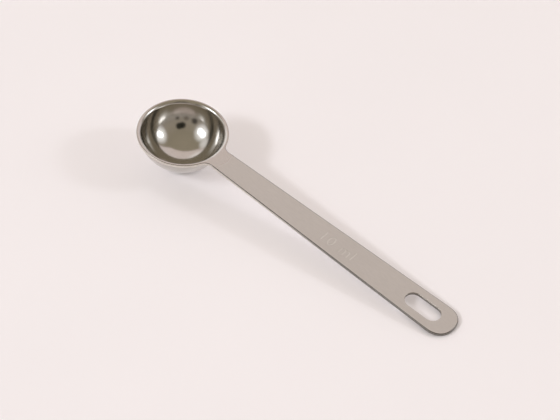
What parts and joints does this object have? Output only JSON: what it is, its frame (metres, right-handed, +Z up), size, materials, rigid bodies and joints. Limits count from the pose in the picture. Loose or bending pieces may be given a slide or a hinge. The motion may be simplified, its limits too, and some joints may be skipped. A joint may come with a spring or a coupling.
{
  "type": "measuring spoon",
  "caption": "Pressed steel measuring spoon: deep round bowl with a turned-out rim, and a long flat handle that widens to a rounded end with a hanging slot.",
  "frame": {"origin": "on the surface that the spoon lies on, under the middle of its outline seen from above", "axes": "+X along the handle from the bowl towards the tip, +Y across the handle, +Z up from the surface that the spoon lies on"},
  "size_m": [0.1664, 0.0396, 0.019],
  "materials": {
    "steel": "stainless steel, polished in the bowl and satin on the handle"
  },
  "bodies": {
    "root": {"measuring_spoon": "steel"}
  },
  "joints": []
}
